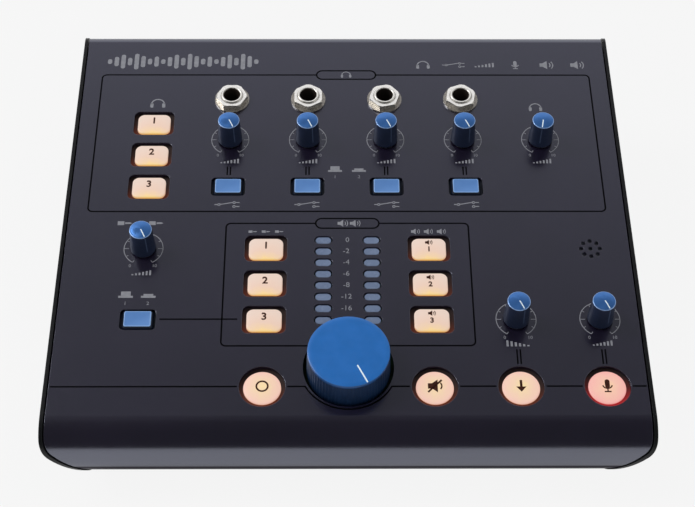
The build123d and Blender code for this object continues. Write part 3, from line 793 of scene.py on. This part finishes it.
def socket_screw(height, shank):
    """Pan head with a six-lobed socket, and its shank."""
    count = 48

    def lobed(radius, z):
        turns = [(a, radius + 0.2 * cos(6 * a)) for a in [tau * i / count for i in range(count)]]
        return [(r * cos(a), r * sin(a), z) for a, r in turns]

    loops = [ring(r, z, count) for r, z in
             ((1.5, shank), (1.5, 0.0), (2.65, 0.0), (2.75, -0.15), (2.75, -0.9), (2.5, -1.45),
              (2.0, 0.06 - height), (1.75, -height))]
    loops += [lobed(1.25, -height), lobed(1.15, -height + 0.15), lobed(1.1, -height + 1.1)]
    return Form().loft(loops)


def clusters(node, apart=8.0):
    """Lowest and highest corners of a node's solids that stand apart in plan, in millimetres."""
    groups = []
    for vertex in nodes[node].data.vertices:
        point = vertex.co / MM
        for group in groups:
            if (group[0].xy - point.xy).length < apart:
                group.append(point)
                break
        else:
            groups.append([point])
    return [limits(group) for group in groups]


SCREW_HEAD = 1.8
screws = Form()
for low, high in clusters("base_screws"):
    middle = (low + high) / 2
    screw = socket_screw(SCREW_HEAD, high.z - low.z - SCREW_HEAD)
    screws.add(screw.moved(Matrix.Translation((middle.x, middle.y, low.z + SCREW_HEAD))))
mesh = screws.mesh("base_screw_set", [LOOK["screw"]])
screw = show("base_screw_set", mesh, Matrix.Identity(4), "housing")
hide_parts("base_screws")


# -------- printing

# Rows are given in millimetres up the panel from where the nose starts.
INK_LOW, INK_HIGH = -0.01, 0.025
VOLUME_ROW = 19.8
CUE_HALF, CUE_FOOT, CUE_TOP = 99.0, 89.5, 159.3     # frame of the cue section
MAIN_HALF, MAIN_FOOT, MAIN_TOP = 45.9, 28.8, 83.8   # and of the main section,
KNOB_GAP = 14.2                                     # whose lower line stops before the knob
TAB_HALF, TAB_WIDTH = 12.0, 4.6
LEVEL_ROW = 114.2                                   # bars under the cue section's knobs
LINE, LINK = 0.6, 0.55                              # widths of the dark lines
dark = Form()
light = Form()


def v(row):
    """Height on the panel above the volume knob's axis."""
    return row - VOLUME_ROW


def strokes(paths, width, low=INK_LOW, high=INK_HIGH):
    """Several open lines of one width."""
    form = Form()
    for path in paths:
        line(form, path, width, low, high)
    return form


def outline(points, width, low=INK_LOW, high=INK_HIGH):
    """One closed line."""
    return line(Form(), points, width, low, high, closed=True)


def rectangle(form, left, foot, right, top):
    """Add a filled rectangle to a form."""
    return form.prism([(left, foot), (right, foot), (right, top), (left, top)], INK_LOW, INK_HIGH)


def speaker(low=INK_LOW, high=INK_HIGH, waves=2):
    """Loudspeaker pictogram."""
    horn = [(-2.0, -0.75), (-1.0, -0.75), (0.4, -1.8), (0.4, 1.8), (-1.0, 0.75), (-2.0, 0.75)]
    sound = [arc(0.1, 0, 1.3 + 0.9 * i, -42, 42) for i in range(waves)]
    return Form().prism(horn, low, high).add(strokes(sound, 0.34, low, high))


def headphones():
    """Headphone pictogram."""
    form = strokes([arc(0, -0.3, 1.9, 0, 180, 16)], 0.38)
    for side in (-1, 1):
        cup = [(x + side * 1.75, y - 0.75) for x, y in rounded(0.95, 1.7, 0.3, 4)]
        form.prism(cup, INK_LOW, INK_HIGH)
    return form


def microphone(low=INK_LOW, high=INK_HIGH):
    """Microphone pictogram."""
    form = Form().prism([(y, x + 0.55) for x, y in reversed(stadium(2.4, 1.15))], low, high)
    stand = [arc(0, 0.4, 1.15, 195, 345, 12), [(0, -0.75), (0, -1.6)], [(-0.8, -1.6), (0.8, -1.6)]]
    return form.add(strokes(stand, 0.32, low, high))


def down_arrow(low=INK_LOW, high=INK_HIGH):
    """Arrow down."""
    form = strokes([[(0, 1.6), (0, -0.3)]], 0.6, low, high)
    return form.prism([(-1.2, -0.2), (0, -1.6), (1.2, -0.2)], low, high)


def level_bars(rising=True):
    """Row of bars that grow or fall, for a level."""
    form = Form()
    for i in range(6):
        height = 0.5 + 0.34 * (i if rising else 5 - i)
        x = -3.3 + 1.3 * i
        rectangle(form, x - 0.35, -1.1, x + 0.35, -1.1 + height)
    return form


def changeover():
    """Changeover switch pictogram, for a source."""
    form = Form()
    for x, y in ((-3.2, 0), (2.6, 0.95), (2.6, -0.95)):
        form.add(outline([(x + px, y + py) for px, py, _ in ring(0.46, 0, 20)], 0.34))
    form.add(strokes([[(-2.7, 0.05), (2.05, 1.0)], [(-4.9, 0), (-3.6, 0)]], 0.4))
    form.add(strokes([[(3.1, y), (4.7, y)] for y in (0.95, -0.95)], 0.4))
    return form


def plug():
    """Jack plug pictogram."""
    tip = [(0.05, -0.38), (1.9, -0.38), (2.6, 0), (1.9, 0.38), (0.05, 0.38)]
    return rectangle(Form(), -2.8, -0.9, -0.3, 0.9).prism(tip, INK_LOW, INK_HIGH)


def switch_state(height):
    """Raised or pressed switch pictogram."""
    form = rectangle(Form(), -2.7, -1.5, 2.7, -0.6)
    return rectangle(form, -1.8, -0.6, 1.8, -0.6 + height)


def put(form, picture, x, y, size=1.0):
    """Place a picture on the panel."""
    form.add(picture.moved(Matrix.Translation((x, y, 0)) @ Matrix.Diagonal((size, size, 1, 1))))


def figures(form, text, x, y, size):
    """Place figures on the panel."""
    form.add(letters(text, size, INK_LOW, INK_HIGH).moved(Matrix.Translation((x, y, 0))))


def frame_side(side, half, low, high, end, corner=1.8):
    """Half of a section's frame, from its tab round to the end of its lower line."""
    path = [(TAB_HALF, high), *arc(half - corner, high - corner, corner, 90, 0)]
    path += [*arc(half - corner, low + corner, corner, 0, -90), (end, low)]
    return [(side * x, y) for x, y in path]


dials = {name: local(joints[f"{name}_turn"]["pos_m"]) for name in LEVEL_DIALS}
columns = [point.x for point in places("headphone", 4)]
keys = {name: (extent(name)[0] + extent(name)[1]) / 2 for name in FLAT_KEYS + ROUND_KEYS + LATCHES}

# Section frames with their tabs, and the link from the main section to its source switch
for side in (-1, 1):
    dark.add(strokes([frame_side(side, CUE_HALF, v(CUE_FOOT), v(CUE_TOP), 0)], LINE))
    dark.add(strokes([frame_side(side, MAIN_HALF, v(MAIN_FOOT), v(MAIN_TOP), KNOB_GAP)], LINE))
for row in (CUE_TOP, MAIN_TOP):
    dark.add(outline([(x, y + v(row)) for x, y in stadium(2 * TAB_HALF, TAB_WIDTH)], LINE))
y = keys["aux_source_switch"].y + 0.2
dark.add(strokes([[(-68.6, y), (-40.3, y)]], LINE))

# Line through the round keys, from end to end, which runs in front of the volume knob on an arc
END, GAP = 105.6, 8.9           # ends of the line, and its distance from a key's middle
ARC, MEET = 17.3, 0.4803        # radius, and the angle below the knob's middle where line and arc meet
level = keys["mono_key"].y
sweep = [pi + (MEET + (pi - 2 * MEET) * i / 40) for i in range(41)]
bypass = [(ARC * cos(a), ARC * sin(a)) for a in sweep]
mono, mute, dim, talk = [keys[name].x for name in ROUND_KEYS]
dark.add(strokes([[(-END, level), (mono - GAP, level)]], LINE))
dark.add(strokes([[(mono + GAP, level), *bypass, (mute - GAP, level)]], LINE))
for start, end in ((mute + GAP, dim - GAP), (dim + GAP, talk - GAP), (talk + GAP, END)):
    dark.add(strokes([[(start, level), (end, level)]], LINE))

# Double links from knobs to the switches or keys below them
links = [(x, 107.3, 111.4) for x in columns] + [(x, 21.0, 27.2) for x in (dim, talk)]
for x, foot, top in links:
    dark.add(strokes([[(x + side * 0.6, v(foot)), (x + side * 0.6, v(top))] for side in (-1, 1)], LINK))
show("section_lines", dark.mesh("section_lines", [LOOK["dark_ink"]]), PANEL, "housing")

# Dial scales: an arc open at the foot, with ticks and end figures
SCALE = 7.3
for point in dials.values():
    x, y = point.x, point.y
    light.add(strokes([arc(x, y, SCALE, -60, 240, 60)], 0.32))
    for i in range(11):
        a = radians(-60 + 30 * i)
        ends = (SCALE, SCALE - (1.9 if i in (2, 8) else 1.0))
        light.add(strokes([[(x + r * cos(a), y + r * sin(a)) for r in ends]], 0.26))
    figures(light, "0", x - 4.6, y - 7.9, 1.9)
    figures(light, "10", x + 4.6, y - 7.9, 1.9)

# Generic pictograms where the sections and controls have their names
put(light, headphones(), 0, v(CUE_TOP) + 0.1, 0.95)
for x in (-1.9, 2.8):
    put(light, speaker(), x, v(MAIN_TOP), 0.9)
put(light, headphones(), -75.6, v(143.9), 1.35)
put(light, headphones(), 75.9, v(141.9), 1.2)
for x in columns:
    put(light, level_bars(), x + 0.2, v(LEVEL_ROW))
    put(light, changeover(), x, v(92.8))
put(light, plug(), -84.3, v(83.9))
put(light, plug(), -72.4, v(83.9))
put(light, level_bars(), dials["aux_level"].x, v(60.9))
put(light, level_bars(False), dials["dim_level"].x, v(29.7), 1.15)
put(light, level_bars(), dials["talk_level"].x, v(29.8))
put(light, level_bars(), dials["cue_output"].x, v(LEVEL_ROW))
for state, height, marks in (("1", 1.9, ((-4.6, 110.3), (-81.6, 51.2))),
                             ("2", 0.8, ((4.7, 110.3), (-73.3, 51.2)))):
    for x, row in marks:
        put(light, switch_state(height), x, v(row))
        figures(light, state, x, v(row) - 4.0, 2.1)
for i in range(3):
    put(light, plug(), -35.7 + 5.0 * i, v(79.9), 0.6)
    put(light, speaker(), 25.6 + 4.9 * i, v(79.9), 0.75)

# Meter figures, generic bars in the rear left corner and pictograms in the rear right one
for i, text in enumerate(("0", "-2", "-4", "-6", "-8", "-12", "-16")):
    figures(light, text, -0.5 if i else 0, v(75.95 - 5.15 * i), 3.1)
BAR_HEIGHTS = (2.6, 5.2, 7.6, 4.2, 8.6, 6.2, 3.2, 5.6) * 2 + (2.6, 5.2, 7.6, 4.2, 8.6, 6.2, 2.6)
for i, height in enumerate(BAR_HEIGHTS):
    bar = [(-96.6 + 2.72 * i + x, v(166.6) + y) for x, y in rounded(1.8, height, 0.85, 4)]
    light.prism(bar, INK_LOW, INK_HIGH)
pictures = ((headphones(), 1.25), (changeover(), 0.95), (level_bars(), 1.1), (microphone(), 1.25),
            (speaker(), 1.25), (speaker(), 1.25))
for i, (picture, size) in enumerate(pictures):
    put(light, picture, 31.5 + 12.6 * i, v(164.8), size)
show("panel_print", light.mesh("panel_print", [LOOK["light_ink"]]), PANEL, "housing")


# -------- key legends

def legend(name, parts, top):
    """Printed legend that rides on its key."""
    form = Form()
    for picture, x, y, size in parts:
        form.add(picture.moved(Matrix.Translation((x, y, top)) @ Matrix.Diagonal((size, size, 1, 1))))
    show(f"{name}_legend", form.mesh(f"{name}_legend", [LOOK["legend_ink"]]), over(name), name)


LEGEND = (-0.3, 0.012)     # foot and top; the legends reach down into the crowned caps
BOLD = 0.1
for name in FLAT_KEYS:
    if name.startswith("speaker"):
        parts = [(speaker(*LEGEND), -0.1, 2.65, 0.62), (letters(name[-1], 3.0, *LEGEND, BOLD), 0, -0.5, 1)]
    else:
        parts = [(letters(name[-1], 4.3, *LEGEND, BOLD), 0, 1.2, 1)]
    legend(name, parts, FLAT_TOP)

slash = strokes([[(-1.7, -1.7), (1.7, 1.7)]], 0.45, *LEGEND)
circle = outline([(x, y) for x, y, _ in ring(1.35, 0, 32)], 0.42, *LEGEND)
legend("mono_key", [(circle, 0, 0.4, 1.5)], ROUND_TOP)
legend("mute_key", [(speaker(*LEGEND, 1), 0.4, 0.4, 1.45), (slash, 0, 0.4, 1.45)], ROUND_TOP)
legend("dim_key", [(down_arrow(*LEGEND), 0, 0.4, 1.5)], ROUND_TOP)
legend("talk_key", [(microphone(*LEGEND), 0, 0.4, 1.5)], ROUND_TOP)

# Standard on and off marks on the rocker's two faces
MARK = (-0.05, 0.02)
TIP, FACE_SLOPE = 7.0, 9.0      # the rocker's own tip at rest, and the slope of its faces, in degrees
hinge = Vector(joints["power_tip"]["pos_m"])
upright = Matrix(((-1, 0, 0, 0), (0, 0, 1, 0), (0, 1, 0, 0), (0, 0, 0, 1)))
for word, side, mark in (("on", 1, strokes([[(0, -1.1), (0, 1.1)]], 0.45, *MARK)),
                         ("off", -1, outline([(x, y) for x, y, _ in ring(1.1, 0, 32)], 0.4, *MARK))):
    at = Matrix.Translation(hinge) @ Matrix.Rotation(radians(TIP), 4, "Z")
    at = at @ Matrix.Translation((side * 3.4 * MM, 1.74 * MM, 0))
    at = at @ Matrix.Rotation(radians(side * FACE_SLOPE), 4, "Z") @ upright
    mesh = mark.mesh("rocker_mark", [LOOK["white_ink"]])
    show(f"rocker_mark_{word}", mesh, at, "power_rocker")


# -------- stage

def stage_plane(name, size, at, material):
    """Flat rectangle of the studio."""
    mesh = bpy.data.meshes.new(name)
    x, y = size[0] / 2, size[1] / 2
    mesh.from_pydata([(-x, -y, 0), (x, -y, 0), (x, y, 0), (-x, y, 0)], [], [(0, 1, 2, 3)])
    mesh.materials.append(material)
    plane = bpy.data.objects.new(name, mesh)
    bpy.context.scene.collection.objects.link(plane)
    plane.matrix_world = at
    return plane


def seen(tree, camera, others):
    """One number for camera rays, another for glossy and transmission rays, 0 for the rest."""
    rays = tree.nodes.new("ShaderNodeLightPath").outputs
    mirrored = calc(tree, "MAXIMUM", rays["Is Glossy Ray"], rays["Is Transmission Ray"])
    return calc(tree, "MAXIMUM", calc(tree, "MULTIPLY", rays["Is Camera Ray"], camera),
                calc(tree, "MULTIPLY", mirrored, others))


BACKDROP = (0.922, 0.922, 0.922, 1)
AMBIENT = 0.7                       # the world's strength for the object's own light
GLOW, MIRRORED = 0.965, 0.35        # the floor's glow, seen and in reflections


def floor_material():
    """Pale floor: the camera sees nearly the backdrop's white, with the object's soft shadow."""
    material = bpy.data.materials.new("floor")
    material.use_nodes = True
    tree = material.node_tree
    shader = tree.nodes["Principled BSDF"]
    shader.inputs["Base Color"].default_value = (0.9, 0.905, 0.915, 1)
    shader.inputs["Roughness"].default_value = 0.8
    glow = tree.nodes.new("ShaderNodeEmission")
    glow.inputs["Color"].default_value = BACKDROP
    mix = tree.nodes.new("ShaderNodeMixShader")
    tree.links.new(seen(tree, GLOW, MIRRORED), mix.inputs["Fac"])
    tree.links.new(shader.outputs["BSDF"], mix.inputs[1])
    tree.links.new(glow.outputs["Emission"], mix.inputs[2])
    tree.links.new(mix.outputs["Shader"], tree.nodes["Material Output"].inputs["Surface"])
    return material


stage_plane("floor", (12, 12), Matrix.Identity(4), floor_material())


def card(name, size, at, stops):
    """Studio card that only reflections see, with a level that changes along its Y."""
    material = bpy.data.materials.new(name)
    material.use_nodes = True
    tree = material.node_tree
    split = tree.nodes.new("ShaderNodeSeparateXYZ")
    tree.links.new(tree.nodes.new("ShaderNodeTexCoord").outputs["Object"], split.inputs["Vector"])
    place = calc(tree, "ADD", calc(tree, "DIVIDE", split.outputs["Y"], size[1]), 0.5)
    ramp = tree.nodes.new("ShaderNodeValToRGB")
    tree.links.new(place, ramp.inputs["Fac"])
    while len(ramp.color_ramp.elements) < len(stops):
        ramp.color_ramp.elements.new(0.5)
    for element, (y, level) in zip(ramp.color_ramp.elements, stops):
        element.position = y / size[1] + 0.5
        element.color = (level, level, level * 1.04, 1)
    glow = tree.nodes.new("ShaderNodeEmission")
    tree.links.new(ramp.outputs["Color"], glow.inputs["Color"])
    tree.links.new(glow.outputs["Emission"], tree.nodes["Material Output"].inputs["Surface"])
    plane = stage_plane(name, size, at, material)
    plane.visible_camera = plane.visible_shadow = plane.visible_diffuse = False


def facing(point, target):
    """Frame at a point whose -Z looks at a target."""
    direction = Vector(target) - Vector(point)
    return Matrix.Translation(point) @ direction.to_track_quat("-Z", "Y").to_matrix().to_4x4()


# The panel mirrors the ceiling card, brighter to the back, and the nose the dark front card. Below the
# front card's lower edge the nose mirrors the floor, which makes the pale band along it.
DARK = 0.045
card("ceiling_card", (7.0, 7.0), Matrix.Translation((0, 0.5, 3.0)),
     ((-3.5, DARK), (-0.5, DARK), (0.64, 0.13), (1.16, 0.215), (1.66, 0.375), (3.5, 0.9)))
card("front_card", (7.0, 2.75), facing((0, -3.0, 1.625), (0, 0, 1.625)), ((-1.375, DARK), (1.375, DARK)))

world = bpy.data.worlds.new("studio")
bpy.context.scene.world = world
world.use_nodes = True
tree = world.node_tree
sky = tree.nodes["Background"]
sky.inputs["Color"].default_value = (1, 1, 1, 1)
tree.links.new(calc(tree, "MAXIMUM", seen(tree, BACKDROP[0], BACKDROP[0]), AMBIENT), sky.inputs["Strength"])

lamp = bpy.data.lights.new("softbox", "AREA")
lamp.shape = "RECTANGLE"
lamp.size = lamp.size_y = 0.7
lamp.energy = 14.0
softbox = bpy.data.objects.new("softbox", lamp)
bpy.context.scene.collection.objects.link(softbox)
softbox.matrix_world = facing((-1.2, 0.3, 1.3), (0, 0, 0.03))

# The camera, solved from the panel's grid of controls in the photograph.
camera = bpy.data.cameras.new("camera")
camera.lens = 82.589
camera.sensor_width = 36.0
viewer = bpy.data.objects.new("camera", camera)
bpy.context.scene.collection.objects.link(viewer)
viewer.location = (-0.006202, -0.432628, 0.470469)
viewer.rotation_euler = [radians(angle) for angle in (43.737717, -0.405675, -0.435228)]
bpy.context.scene.camera = viewer
bpy.context.scene.view_settings.view_transform = "Standard"

bpy.context.view_layer.update()
